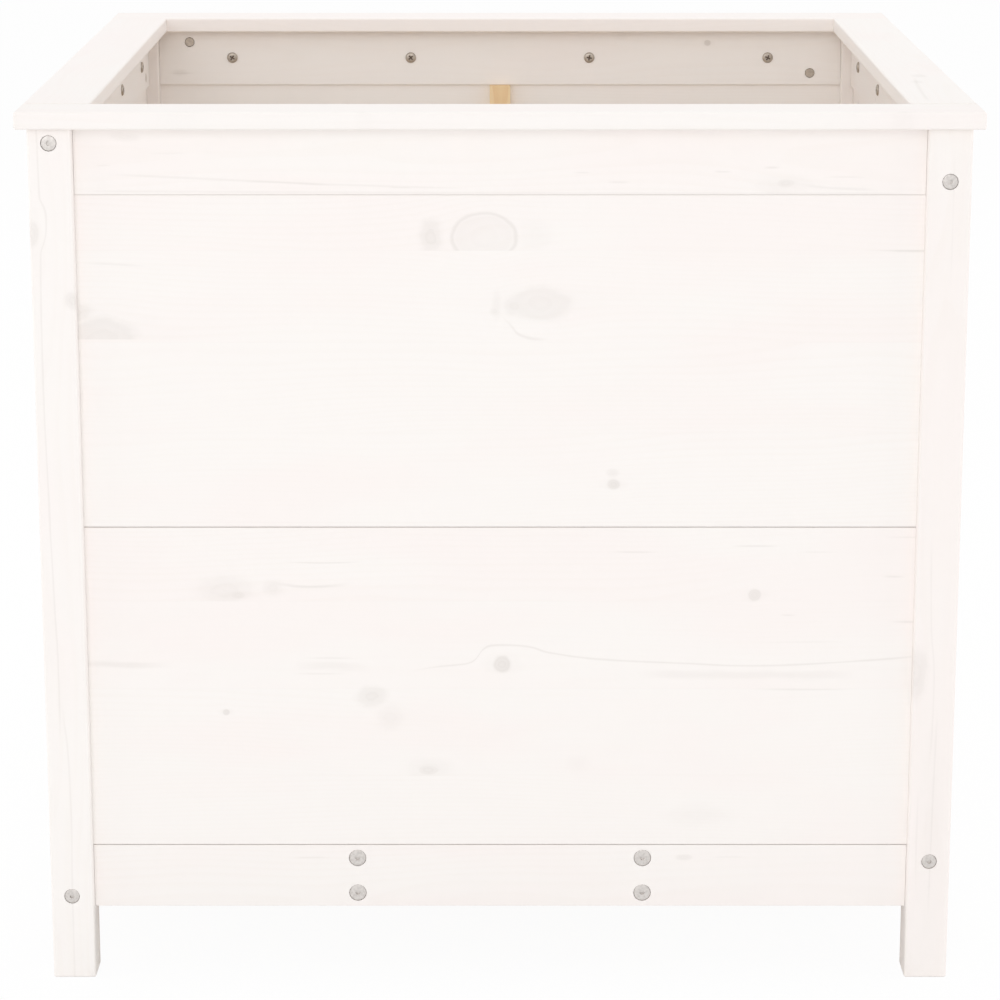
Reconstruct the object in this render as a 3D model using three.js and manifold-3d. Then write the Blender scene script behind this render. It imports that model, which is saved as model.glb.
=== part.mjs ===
// A square planter box on four legs, in painted pine: four posts, four framed board
// walls, a flat overhanging rim and a slatted floor. Connector bolts run through the
// posts into barrel nuts in the rails, so that the whole box comes apart for storage.
//
// Millimetres, +Z up, front towards -Y, origin on the ground under the centre.

import * as THREE from 'three';
import { mergeVertices } from 'three/addons/utils/BufferGeometryUtils.js';
import Module from 'manifold-3d';

const wasm = await Module();
wasm.setup();

// ---- Driving sizes ---------------------------------------------------------------

// Overall
const overallSide = 825;         // rim, outer edge to outer edge, both ways
const footHeight = 65;           // ground to the underside of the bottom rails
const fit = 0.2;                 // clearance between pieces that bear on each other

// Rim
const rimWidth = 58;
const rimThickness = 15;
const rimOverhang = 9.5;         // rim's outer edge past the posts' outer faces
const rimArris = 2;              // radius of the eased long edges
const rimEndEase = 1;            // chamfer of the full-length boards' ends

// Posts
const postSize = 38;
const postArris = 2;
const footEase = 1;              // chamfer round both ends of a post

// Walls
const wallRecess = 9.5;          // walls' outer faces behind the posts' outer faces
const railHeight = 58;
const railThickness = 18;
const panelHeight = 293.5;
const panelThickness = 15;
const boardGap = 0.6;            // open shadow gap over the bottom rail and at mid height
const boardArris = 0.3;
const grooveDepth = 6;           // housing of the panel ends in the posts
const battenWidth = 22;
const battenThickness = 15;

// Floor
const bearerThickness = 18;
const bearerSpacing = 256;       // centre to centre
const slatThickness = 18;
const slatGap = 10;              // drainage gap
const slatCount = 6;
const floorMargin = 2;           // floor's edge to the battens

// Fastenings
const boltEdge = 12.5;           // bolt axis to the nearer edge of its rail
const shankDiameter = 6;
const postHeadDiameter = 13.2;
const bearerHeadDiameter = 15;
const headHeight = 2.5;
const headEase = 0.6;
const headSink = 0.5;            // head's face below the timber's face
const socketAcross = 4;          // hexagon socket, across flats
const socketDepth = 1.8;
const nutDiameter = 10;
const nutLength = 14;
const nutSetback = 32.5;         // end of the bored timber to the barrel nut's axis
const tipPastNut = 8;            // bolt's tip past the barrel nut's axis
const boreClearance = 0.4;       // on the radius of every bored hole

// Facets
const arrisSteps = 2;            // pairs of facets round an eased edge
const headSides = 16;
const shankSides = 6;
const nutSides = 10;
const socketSides = 6;
const cutOver = 1;               // how far a hole's cutter stands out of a face

// ---- Sizes that follow -----------------------------------------------------------

const rimOuter = overallSide / 2;
const postOuter = rimOuter - rimOverhang;
const postInner = postOuter - postSize;
const wallOuter = postOuter - wallRecess;
const railInner = wallOuter - railThickness;
const railCentre = wallOuter - railThickness / 2;
const panelInner = wallOuter - panelThickness;
const battenInner = panelInner - fit - battenThickness;

const bottomRailTop = footHeight + railHeight;
const lowerPanelBottom = bottomRailTop + boardGap;
const lowerPanelTop = lowerPanelBottom + panelHeight;
const upperPanelBottom = lowerPanelTop + boardGap;
const upperPanelTop = upperPanelBottom + panelHeight;
const topRailBottom = upperPanelTop + fit;
const postTop = topRailBottom + railHeight;
const rimBottom = postTop + fit;

const railLength = 2 * (postInner - fit);
const panelLength = 2 * (postInner + grooveDepth - fit);
const floorHalf = battenInner - floorMargin;
const slatWidth = (2 * floorHalf - (slatCount - 1) * slatGap) / slatCount;

// Bolt heights. The two bolts that meet in a post cross at different heights, so every
// wall takes the inner pair at its left end and the outer pair at its right end.
const bottomRailLow = footHeight + boltEdge;
const bottomRailHigh = bottomRailTop - boltEdge;
const topRailLow = topRailBottom + boltEdge;
const topRailHigh = postTop - boltEdge;
const leftEndHeights = { top: topRailLow, bottom: bottomRailHigh };
const rightEndHeights = { top: topRailHigh, bottom: bottomRailLow };

// ---- Materials -------------------------------------------------------------------

function paintedPine() {
  return new THREE.MeshStandardMaterial({ color: 0xf3ece6, roughness: 0.55, metalness: 0 });
}

function barePine() {
  return new THREE.MeshStandardMaterial({ color: 0xe3bd84, roughness: 0.75, metalness: 0 });
}

function zincSteel() {
  return new THREE.MeshStandardMaterial({ color: 0xa39b94, roughness: 0.4, metalness: 0.9 });
}

// ---- Solids ----------------------------------------------------------------------

// A geometry's triangles on shared vertices, without the slivers at a revolve's axis.
function welded(geometry) {
  const bare = geometry.clone();
  bare.deleteAttribute('normal');
  bare.deleteAttribute('uv');
  const merged = mergeVertices(bare, 1e-4);
  const kept = [];
  const index = merged.index.array;
  for (let i = 0; i < index.length; i += 3) {
    const [a, b, c] = [index[i], index[i + 1], index[i + 2]];
    if (a !== b && b !== c && c !== a) kept.push(a, b, c);
  }
  merged.setIndex(kept);
  return merged;
}

function toManifold(geometry) {
  const mesh = welded(geometry);
  return new wasm.Manifold(new wasm.Mesh({
    numProp: 3,
    vertProperties: new Float32Array(mesh.attributes.position.array),
    triVerts: new Uint32Array(mesh.index.array),
  }));
}

function toGeometry(manifold) {
  const { vertProperties, triVerts } = manifold.getMesh();
  const geometry = new THREE.BufferGeometry();
  geometry.setAttribute('position', new THREE.BufferAttribute(vertProperties, 3));
  geometry.setIndex(new THREE.BufferAttribute(triVerts, 1));
  geometry.computeVertexNormals();
  return geometry;
}

function cut(geometry, tools) {
  let solid = toManifold(geometry);
  for (const tool of tools) solid = solid.subtract(toManifold(tool));
  return toGeometry(solid);
}

function join(geometries) {
  let solid = toManifold(geometries[0]);
  for (const other of geometries.slice(1)) solid = solid.add(toManifold(other));
  return toGeometry(solid);
}

// A rectangle with rounded corners, centred on the origin.
function easedSection(width, height, radius) {
  const x = width / 2 - radius;
  const y = height / 2 - radius;
  const shape = new THREE.Shape();
  shape.absarc(x, -y, radius, -Math.PI / 2, 0, false);
  shape.absarc(x, y, radius, 0, Math.PI / 2, false);
  shape.absarc(-x, y, radius, Math.PI / 2, Math.PI, false);
  shape.absarc(-x, -y, radius, Math.PI, Math.PI * 1.5, false);
  return shape;
}

// A board along X, `deep` along Y and `high` along Z, centred on the origin, with its
// long edges rounded to `arris` and its ends chamfered by `endEase`.
function board(length, deep, high, arris, endEase = 0) {
  const geometry = new THREE.ExtrudeGeometry(easedSection(deep, high, arris), {
    depth: length - 2 * endEase,
    curveSegments: arrisSteps,
    bevelEnabled: endEase > 0,
    bevelThickness: endEase,
    bevelSize: endEase,
    bevelOffset: -endEase,
    bevelSegments: 1,
  });
  geometry.translate(0, 0, -length / 2 + endEase);
  const sectionToBoard = new THREE.Matrix4().makeBasis(
    new THREE.Vector3(0, 1, 0),
    new THREE.Vector3(0, 0, 1),
    new THREE.Vector3(1, 0, 0),
  );
  return geometry.applyMatrix4(sectionToBoard);
}

// A solid of revolution about +Z from [radius, height] pairs, lowest first.
function revolve(profile, sides) {
  const points = profile.map(([radius, height]) => new THREE.Vector2(radius, height));
  return new THREE.LatheGeometry(points, sides).rotateX(Math.PI / 2);
}

// A round bar or hole from height `from` to height `to` on the Z axis.
function rod(radius, from, to, sides) {
  return revolve([[0, from], [radius, from], [radius, to], [0, to]], sides);
}

const directions = {
  '+x': new THREE.Vector3(1, 0, 0),
  '-x': new THREE.Vector3(-1, 0, 0),
  '+y': new THREE.Vector3(0, 1, 0),
  '-y': new THREE.Vector3(0, -1, 0),
};
const up = new THREE.Vector3(0, 0, 1);

// Turns a geometry's +Z to a direction and then moves its origin to a point.
function aimed(geometry, direction, point) {
  const turn = new THREE.Quaternion().setFromUnitVectors(up, directions[direction]);
  return geometry.applyQuaternion(turn).translate(point.x, point.y, point.z);
}

function along(point, direction, distance) {
  return point.clone().addScaledVector(directions[direction], distance);
}

// ---- Fastenings ------------------------------------------------------------------

// A connector bolt is told by its head's diameter, the point where its axis meets the
// outer face, the way it is driven, how far the timber that it is driven into lies
// below that face, and the face and direction from which its barrel nut goes in.

const seatDepth = headSink + headHeight;

function nutAxisDepth(bolt) {
  return bolt.toTimber + nutSetback;
}

function nutMouth(bolt) {
  const onAxis = along(bolt.face, bolt.drive, nutAxisDepth(bolt));
  return along(onAxis, bolt.nutFrom, -bolt.nutReach);
}

// The bolt with its barrel nut run on, as one piece.
function boltWithNut(bolt) {
  const headRadius = bolt.headDiameter / 2;
  const shankRadius = shankDiameter / 2;
  const tip = nutAxisDepth(bolt) + tipPastNut;
  const head = revolve([
    [0, headSink],
    [headRadius - headEase, headSink],
    [headRadius, headSink + headEase],
    [headRadius, seatDepth],
    [0, seatDepth],
  ], headSides);
  const shank = revolve([
    [0, seatDepth - headHeight / 2],
    [shankRadius, seatDepth - headHeight / 2],
    [shankRadius, tip - shankRadius / 2],
    [shankRadius / 2, tip],
    [0, tip],
  ], shankSides);
  const socketRadius = socketAcross / 2 / Math.cos(Math.PI / socketSides);
  const socket = rod(socketRadius, headSink - cutOver, headSink + socketDepth, socketSides);
  const nut = rod(nutDiameter / 2, fit, fit + nutLength, nutSides);
  const body = join([
    aimed(head, bolt.drive, bolt.face),
    aimed(shank, bolt.drive, bolt.face),
    aimed(nut, bolt.nutFrom, nutMouth(bolt)),
  ]);
  return cut(body, [aimed(socket, bolt.drive, bolt.face)]);
}

// The stepped hole that the bolt's head and shank need in the piece that it clamps.
function headBore(bolt) {
  const headRadius = bolt.headDiameter / 2 + boreClearance;
  const seat = seatDepth + fit;
  return aimed(rod(headRadius, -cutOver, seat, headSides), bolt.drive, bolt.face);
}

function shankBore(bolt) {
  const radius = shankDiameter / 2 + boreClearance;
  const depth = nutAxisDepth(bolt) + tipPastNut + fit;
  return aimed(rod(radius, -cutOver, depth, shankSides), bolt.drive, bolt.face);
}

function nutBore(bolt) {
  const radius = nutDiameter / 2 + boreClearance;
  const depth = nutLength + 2 * fit;
  return aimed(rod(radius, -cutOver, depth, nutSides), bolt.nutFrom, nutMouth(bolt));
}

// The bolt into the front wall's rail at one end of the wall: -1 left, +1 right.
function railBolt(end, height) {
  return {
    headDiameter: postHeadDiameter,
    face: new THREE.Vector3(end * postOuter, -railCentre, height),
    drive: end < 0 ? '+x' : '-x',
    toTimber: postSize + fit,
    nutFrom: '-y',
    nutReach: railCentre - railInner,
  };
}

// The bolt through the front (-1) or back (+1) bottom rail into a floor bearer.
function bearerBolt(end, bearerX, height) {
  return {
    headDiameter: bearerHeadDiameter,
    face: new THREE.Vector3(bearerX, end * wallOuter, height),
    drive: end < 0 ? '+y' : '-y',
    toTimber: railThickness + fit,
    nutFrom: bearerX < 0 ? '-x' : '+x',
    nutReach: bearerThickness / 2,
  };
}

const bearerPlaces = { left: -bearerSpacing / 2, right: bearerSpacing / 2 };
const bearerBoltHeights = { lower: bottomRailLow, upper: bottomRailHigh };

function bearerBoltsAt(end, bearerX) {
  return Object.values(bearerBoltHeights).map((height) => bearerBolt(end, bearerX, height));
}

// ---- Posts -----------------------------------------------------------------------

// The front left post. Its left face takes the front wall's bolts and its front face
// takes the left wall's, and a stopped groove on each inner face houses the panels.
function postGeometry() {
  const centre = -(postOuter - postSize / 2);
  const timber = board(postTop, postSize, postSize, postArris, footEase)
    .rotateY(-Math.PI / 2)
    .translate(centre, centre, postTop / 2);

  const frontWallBolts = Object.values(leftEndHeights).map((height) => railBolt(-1, height));
  const holes = frontWallBolts.flatMap((bolt) => [headBore(bolt), shankBore(bolt)]);
  const leftWallBolts = Object.values(rightEndHeights).map((height) => railBolt(1, height));
  for (const bolt of leftWallBolts) {
    for (const hole of [headBore(bolt), shankBore(bolt)]) {
      holes.push(hole.rotateZ(-Math.PI / 2));
    }
  }

  const grooveAcross = panelThickness + 2 * fit;
  const grooveInto = grooveDepth + cutOver;
  const grooveHeight = upperPanelTop - lowerPanelBottom + 2 * fit;
  const across = -(wallOuter - panelThickness / 2);
  const into = -(postInner + (grooveDepth - cutOver) / 2);
  const middle = (lowerPanelBottom + upperPanelTop) / 2;
  const grooves = [
    new THREE.BoxGeometry(grooveInto, grooveAcross, grooveHeight).translate(into, across, middle),
    new THREE.BoxGeometry(grooveAcross, grooveInto, grooveHeight).translate(across, into, middle),
  ];
  return cut(timber, [...holes, ...grooves]);
}

// ---- Walls -----------------------------------------------------------------------

// Each function here gives a piece of the front wall in its own place.

function railGeometry(bottom, which, extraBolts) {
  const bolts = [railBolt(-1, leftEndHeights[which]), railBolt(1, rightEndHeights[which])];
  const holes = bolts.flatMap((bolt) => [shankBore(bolt), nutBore(bolt)]);
  for (const bolt of extraBolts) holes.push(headBore(bolt), shankBore(bolt));
  const timber = board(railLength, railThickness, railHeight, boardArris)
    .translate(0, -railCentre, bottom + railHeight / 2);
  return cut(timber, holes);
}

function panelGeometry(bottom) {
  return board(panelLength, panelThickness, panelHeight, boardArris)
    .translate(0, -(wallOuter - panelThickness / 2), bottom + panelHeight / 2);
}

function battenGeometry() {
  const bottom = bottomRailTop + fit;
  const length = upperPanelTop - bottom;
  return board(length, battenWidth, battenThickness, boardArris)
    .rotateY(-Math.PI / 2)
    .rotateZ(Math.PI / 2)
    .translate(0, -(battenInner + battenThickness / 2), bottom + length / 2);
}

// ---- Rim and floor ---------------------------------------------------------------

function rimFrontGeometry() {
  return board(overallSide, rimWidth, rimThickness, rimArris, rimEndEase)
    .translate(0, -(rimOuter - rimWidth / 2), rimBottom + rimThickness / 2);
}

// The side boards butt between the front and back boards.
function rimSideGeometry() {
  return board(overallSide - 2 * (rimWidth + fit), rimWidth, rimThickness, rimArris)
    .rotateZ(Math.PI / 2)
    .translate(-(rimOuter - rimWidth / 2), 0, rimBottom + rimThickness / 2);
}

// The floor bearers run from front to back between the bottom rails.
function bearerGeometry(x) {
  const timber = board(2 * (railInner - fit), bearerThickness, railHeight, boardArris)
    .rotateZ(Math.PI / 2)
    .translate(x, 0, footHeight + railHeight / 2);
  const bolts = [...bearerBoltsAt(-1, x), ...bearerBoltsAt(1, x)];
  return cut(timber, bolts.flatMap((bolt) => [shankBore(bolt), nutBore(bolt)]));
}

function slatGeometry(i) {
  const front = -floorHalf + i * (slatWidth + slatGap);
  return board(2 * floorHalf, slatWidth, slatThickness, boardArris)
    .translate(0, front + slatWidth / 2, bottomRailTop + fit + slatThickness / 2);
}

// ---- Assembly --------------------------------------------------------------------

function piece(parent, name, geometry, material) {
  const mesh = new THREE.Mesh(geometry, material);
  mesh.name = name;
  parent.add(mesh);
}

// The rim, with each pair of boards half a turn apart.
function addRim(parent) {
  const back = new THREE.Group();
  back.rotation.z = Math.PI;
  parent.add(back);
  piece(parent, 'rim_front', rimFrontGeometry(), paintedPine());
  piece(back, 'rim_back', rimFrontGeometry(), paintedPine());
  piece(parent, 'rim_left', rimSideGeometry(), paintedPine());
  piece(back, 'rim_right', rimSideGeometry(), paintedPine());
}

// Everything that repeats at each quarter turn: a wall, its bolts and the post at the
// wall's left end. The front and back bottom rails also take the bearers' bolts.
function addQuarters(parent) {
  const sides = ['front', 'right', 'back', 'left'];
  const postNames = ['front_left', 'front_right', 'back_right', 'back_left'];
  const bearerBolts = Object.values(bearerPlaces).flatMap((x) => bearerBoltsAt(-1, x));
  const topRail = railGeometry(topRailBottom, 'top', []);
  const plainBottomRail = railGeometry(footHeight, 'bottom', []);
  const bearingBottomRail = railGeometry(footHeight, 'bottom', bearerBolts);
  const lowerPanel = panelGeometry(lowerPanelBottom);
  const upperPanel = panelGeometry(upperPanelBottom);
  const batten = battenGeometry();
  const post = postGeometry();
  const bolts = [];
  for (const which of ['top', 'bottom']) {
    bolts.push([`${which}_left`, boltWithNut(railBolt(-1, leftEndHeights[which]))]);
    bolts.push([`${which}_right`, boltWithNut(railBolt(1, rightEndHeights[which]))]);
  }

  sides.forEach((side, quarter) => {
    const wall = new THREE.Group();
    wall.rotation.z = quarter * Math.PI / 2;
    parent.add(wall);
    const carriesBearers = quarter % 2 === 0;
    piece(wall, `post_${postNames[quarter]}`, post, paintedPine());
    piece(wall, `${side}_top_rail`, topRail, paintedPine());
    piece(wall, `${side}_upper_panel`, upperPanel, paintedPine());
    piece(wall, `${side}_lower_panel`, lowerPanel, paintedPine());
    piece(
      wall,
      `${side}_bottom_rail`,
      carriesBearers ? bearingBottomRail : plainBottomRail,
      paintedPine(),
    );
    piece(wall, `${side}_batten`, batten, barePine());
    for (const [place, bolt] of bolts) piece(wall, `${side}_bolt_${place}`, bolt, zincSteel());
  });
}

// The floor: two bearers, their bolts and the slats across them.
function addFloor(parent) {
  for (const [side, x] of Object.entries(bearerPlaces)) {
    piece(parent, `floor_bearer_${side}`, bearerGeometry(x), barePine());
    for (const [level, height] of Object.entries(bearerBoltHeights)) {
      for (const [place, end] of [['front', -1], ['back', 1]]) {
        const bolt = boltWithNut(bearerBolt(end, x, height));
        piece(parent, `bearer_bolt_${place}_${side}_${level}`, bolt, zincSteel());
      }
    }
  }
  for (let i = 0; i < slatCount; i += 1) {
    piece(parent, `floor_slat_${i + 1}`, slatGeometry(i), barePine());
  }
}

const planter = new THREE.Group();
addRim(planter);
addQuarters(planter);
addFloor(planter);

export default planter;
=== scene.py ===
"""Looks of the square planter: painted pine, bare pine and zinc-plated steel.

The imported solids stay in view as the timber. Each board gets its own figured finish, the
connector bolts are built again in finer form, the screws are added, and a plain white
studio is set round the planter. Metres, +Z up, front towards -Y.
"""

import logging
import math
import random
from dataclasses import dataclass
from enum import Enum
from functools import cached_property

import bmesh
import bpy
from mathutils import Matrix, Vector


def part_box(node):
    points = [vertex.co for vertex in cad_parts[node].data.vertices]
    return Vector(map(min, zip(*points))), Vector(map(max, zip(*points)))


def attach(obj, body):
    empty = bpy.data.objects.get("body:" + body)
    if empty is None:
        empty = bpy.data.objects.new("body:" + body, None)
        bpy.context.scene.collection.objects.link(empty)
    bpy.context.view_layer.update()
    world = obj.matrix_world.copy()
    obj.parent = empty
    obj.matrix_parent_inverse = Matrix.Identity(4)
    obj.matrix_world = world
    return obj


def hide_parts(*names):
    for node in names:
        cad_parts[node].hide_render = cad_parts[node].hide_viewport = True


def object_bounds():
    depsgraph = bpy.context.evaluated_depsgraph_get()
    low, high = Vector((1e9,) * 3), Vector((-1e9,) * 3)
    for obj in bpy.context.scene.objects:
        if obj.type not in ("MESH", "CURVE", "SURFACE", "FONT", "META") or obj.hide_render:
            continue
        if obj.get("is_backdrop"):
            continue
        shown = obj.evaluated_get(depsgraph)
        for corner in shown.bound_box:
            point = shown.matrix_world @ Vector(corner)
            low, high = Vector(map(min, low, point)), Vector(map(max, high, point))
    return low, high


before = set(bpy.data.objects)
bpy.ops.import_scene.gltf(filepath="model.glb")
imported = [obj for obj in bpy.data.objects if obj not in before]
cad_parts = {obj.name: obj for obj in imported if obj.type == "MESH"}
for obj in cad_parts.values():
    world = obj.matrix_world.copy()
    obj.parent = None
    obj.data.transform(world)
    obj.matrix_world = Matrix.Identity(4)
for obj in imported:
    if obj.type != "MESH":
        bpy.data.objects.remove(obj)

MM = 0.001
BODY = "root"
SRGB_TOE = 0.04045
STRETCH_APART = 3.7
WALL_HEAD_RADIUS = 6.6 * MM
BEARER_HEAD_RADIUS = 7.5 * MM

Triple = tuple[float, float, float]
Finishes = tuple[bpy.types.Material, ...]


def srgb(red: float, green: float, blue: float) -> Triple:
    """Turns a colour as it shows on a screen into linear values.

    Args:
        red: The red channel, 0 to 255.
        green: The green channel, 0 to 255.
        blue: The blue channel, 0 to 255.

    Returns:
        The linear values, 0 to 1.
    """

    def linear(level: float) -> float:
        """One channel, 0 to 255, as a linear value."""
        share = level / 255
        return share / 12.92 if share <= SRGB_TOE else ((share + 0.055) / 1.055) ** 2.4

    return linear(red), linear(green), linear(blue)


# ---- Shader expressions ------------------------------------------------------------


class Value:
    """A socket of a shader, which takes part in expressions."""

    def __init__(self, shader: "Shader", socket: bpy.types.NodeSocket) -> None:
        """Wraps a socket of the shader's tree."""
        self.shader = shader
        self.socket = socket

    def _maths(self, operation: str, *operands: "Number") -> "Value":
        """A Math node on the operands."""
        return self.shader.node("ShaderNodeMath", {"operation": operation}, dict(enumerate(operands)))

    def __add__(self, other: "Number") -> "Value":
        """self + other."""
        return self._maths("ADD", self, other)

    def __radd__(self, other: float) -> "Value":
        """other + self."""
        return self._maths("ADD", other, self)

    def __sub__(self, other: "Number") -> "Value":
        """self - other."""
        return self._maths("SUBTRACT", self, other)

    def __rsub__(self, other: float) -> "Value":
        """other - self."""
        return self._maths("SUBTRACT", other, self)

    def __mul__(self, other: "Number") -> "Value":
        """self * other."""
        return self._maths("MULTIPLY", self, other)

    def __rmul__(self, other: float) -> "Value":
        """other * self."""
        return self._maths("MULTIPLY", other, self)

    def __truediv__(self, other: "Number") -> "Value":
        """self / other."""
        return self._maths("DIVIDE", self, other)

    def __rtruediv__(self, other: float) -> "Value":
        """other / self."""
        return self._maths("DIVIDE", other, self)

    def __gt__(self, other: "Number") -> "Value":
        """1 where self is greater than other, else 0."""
        return self._maths("GREATER_THAN", self, other)

    def __lt__(self, other: "Number") -> "Value":
        """1 where self is less than other, else 0."""
        return self._maths("LESS_THAN", self, other)

    def __abs__(self) -> "Value":
        """The value without its sign."""
        return self._maths("ABSOLUTE", self)

    def root(self) -> "Value":
        """The square root."""
        return self._maths("SQRT", self)

    def fraction(self) -> "Value":
        """What is left over the whole number below."""
        return self._maths("FRACT", self)

    def most(self, other: "Number") -> "Value":
        """The greater of the two."""
        return self._maths("MAXIMUM", self, other)

    def rise(self, low: float, high: float) -> "Value":
        """Makes a smooth step from 0 to 1.

        Args:
            low: The value where the step starts.
            high: The value where it ends, which gives a fall where it is below low.

        Returns:
            The step.
        """
        return self.shader.node(
            "ShaderNodeMapRange",
            {"interpolation_type": "SMOOTHSTEP"},
            {"Value": self, "From Min": low, "From Max": high},
        )


Number = Value | float
Link = Value | float | tuple[float, ...]


class Shader:
    """The node tree of a material, built from expressions."""

    def __init__(self, tree: bpy.types.NodeTree) -> None:
        """Takes over a tree and empties it."""
        self.tree = tree
        self.tree.nodes.clear()

    def node(
        self,
        kind: str,
        settings: dict[str, object] | None = None,
        inputs: dict[str | int, Link] | None = None,
        output: str | int = 0,
    ) -> Value:
        """Adds a node.

        Args:
            kind: The node's type.
            settings: Its properties, set first. "points" are the points of a curve.
            inputs: The value or link of each socket, by name or number.
            output: The output that is wanted, by name or number.

        Returns:
            That output.
        """
        made = self.tree.nodes.new(kind)
        for name, setting in (settings or {}).items():
            if name == "points":
                self._bend_curve(made, setting)
            else:
                setattr(made, name, setting)
        for name, given in (inputs or {}).items():
            socket = made.inputs[name]
            if isinstance(given, Value):
                self.tree.links.new(given.socket, socket)
            else:
                socket.default_value = given
        return Value(self, made.outputs[output])

    @staticmethod
    def _bend_curve(made: bpy.types.Node, points: list[tuple[float, float]]) -> None:
        """Sets a Float Curve node's points, of which a new node has two.

        Args:
            made: The node.
            points: The curve's points, from left to right.
        """
        curve = made.mapping.curves[0]
        for place in points[1:-1]:
            curve.points.new(*place)
        for point, place in zip(curve.points, points, strict=True):
            point.location = place
        made.mapping.update()

    def dot(self, vector: Value, axis: Triple) -> Value:
        """The vector's reach along an axis."""
        return self.node("ShaderNodeVectorMath", {"operation": "DOT_PRODUCT"}, {0: vector, 1: axis}, "Value")

    def stretch(self, place: Value, scale: Triple) -> Value:
        """A place stretched along each axis, for a noise texture."""
        return self.node("ShaderNodeVectorMath", {"operation": "MULTIPLY"}, {0: place, 1: scale})

    def gather(self, x: Number, y: Number, z: Number) -> Value:
        """Three values as a vector."""
        return self.node("ShaderNodeCombineXYZ", inputs={0: x, 1: y, 2: z})

    def spread(self, vector: Value) -> tuple[Value, Value, Value]:
        """A vector's or a colour's three values."""
        parts = self.node("ShaderNodeSeparateXYZ", inputs={0: vector})
        return tuple(Value(self, socket) for socket in parts.socket.node.outputs)

    def noise(self, place: Value, detail: float = 2.0) -> Value:
        """Makes smooth noise between 0 and 1.

        Args:
            place: The place, in units of the size of the features.
            detail: How many finer layers it has.

        Returns:
            The noise.
        """
        given = {"Vector": place, "Scale": 1.0, "Detail": detail, "Roughness": 0.5}
        return self.node("ShaderNodeTexNoise", {"noise_dimensions": "3D"}, given)

    def mix(self, share: Number, first: Link, second: Link) -> Value:
        """The first colour, turning into the second as share goes from 0 to 1."""
        colours = {6: _opaque(first), 7: _opaque(second)}
        return self.node("ShaderNodeMix", {"data_type": "RGBA"}, {"Factor": share, **colours}, 2)

    def surface(self, finished: Value, kind: str = "ShaderNodeOutputMaterial") -> None:
        """Ends the tree in an output node of a kind."""
        end = self.tree.nodes.new(kind)
        self.tree.links.new(finished.socket, end.inputs["Surface"])


def _opaque(colour: Link) -> Link:
    """A colour with its alpha, where it is a plain one."""
    return colour if isinstance(colour, Value) else (*colour, 1.0)


def new_material(name: str) -> tuple[bpy.types.Material, Shader]:
    """Makes an empty material.

    Args:
        name: The material's name.

    Returns:
        The material and its shader.
    """
    material = bpy.data.materials.new(name)
    material.use_nodes = True
    return material, Shader(material.node_tree)


# ---- Timber ------------------------------------------------------------------------


@dataclass(frozen=True)
class Grain:
    """The three directions of a board: its grain, its width and its thickness."""

    along: Triple
    across: Triple
    through: Triple


@dataclass(frozen=True)
class Knot:
    """A knot, placed in its board's grain directions.

    Its tone and the tone of the line round it go from 0, unseen, to 1. It is clean-edged
    at a softness of 0 and a smudge under the face at 1, and its outline is smooth at a
    raggedness of 0. A knot that a glued joint cuts off keeps only the side above it.
    """

    along: float
    across: float
    half_length: float
    half_width: float
    tone: float
    rim: float = 0.0
    softness: float = 0.0
    raggedness: float = 0.7
    only_above: float | None = None

    @property
    def line(self) -> float:
        """How wide the line round it is, as a share of its half width."""
        return min(0.3, 2.6 * MM / self.half_width)


@dataclass(frozen=True)
class WildKnots:
    """Knots strewn at random over a board, one at most in each cell of its face."""

    cell_length: float = 190 * MM
    cell_width: float = 85 * MM
    share: float = 0.4
    least: float = 3 * MM
    most: float = 17 * MM
    roundness: float = 0.68
    tone: float = 0.6
    rim: float = 0.2
    softness: float = 0.25
    raggedness: float = 0.7
    line: float = 0.2
    half_width: float = 8 * MM


@dataclass(frozen=True)
class KnotMarks:
    """What knots do at each point: their insides, rims and halos, and their push on the grain."""

    insides: Number = 0.0
    rims: Number = 0.0
    halos: Number = 0.0
    push: Number = 0.0


@dataclass(frozen=True)
class Vein:
    """A darker line of grain through points given along and across the board.

    It fades out over some length at each end, or over less where it is short.
    """

    points: tuple[tuple[float, float], ...]
    half_width: float
    tone: float = 0.5
    fade_length: float = 45 * MM

    @property
    def fade(self) -> float:
        """The faded share of its length at each end."""
        return min(0.4, self.fade_length / (self.points[-1][0] - self.points[0][0]))


@dataclass(frozen=True)
class Figure:
    """What the timber does at each point, as values from 0 to 1."""

    latewood: Value
    fibre: Value
    cloud: Value
    knots: KnotMarks
    veins: Number
    joints: Number
    ends: Value
    arris: Value
    # Painted shade near the board's ends along its grain, not a mark of the timber.
    corners: Value


@dataclass(frozen=True)
class Board:
    """One board's place, grain and features.

    Its housed length at each end stands in a neighbour. A darkening from 0 to 1 can be set for
    the whole board, partly its own tone and partly painted shade on a side that gets less light.
    Painted shade also darkens it near each end along its grain, where its neighbours shade it.
    """

    grain: Grain
    centre: Triple
    half: Triple
    seed: int
    joints: tuple[float, ...] = ()
    knots: tuple[Knot, ...] = ()
    veins: tuple[Vein, ...] = ()
    wild: WildKnots | None = None
    housed: float = 0.0
    # Darkens the whole board: partly its own tone, partly painted shade for a side that gets less light.
    wear: float = 0.0
    corner_reach: float = 17 * MM

    @property
    def knotty(self) -> bool:
        """Whether the board has knots."""
        return bool(self.knots) or self.wild is not None


@dataclass(frozen=True)
class Rings:
    """Growth rings about a heart behind the board, whose place differs between staves.

    The latewood of a year goes from unseen to full and then fades, as shares of the year.
    """

    spacing: float = 3.4 * MM
    heart_aside: float = 110 * MM
    heart_behind: float = 25 * MM
    heart_deeper: float = 50 * MM
    slow_wander: float = 45 * MM
    quick_wander: float = 3 * MM
    unseen: float = 0.35
    full: float = 0.88
    fading: float = 0.93
    least_clear: float = 0.3


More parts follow.
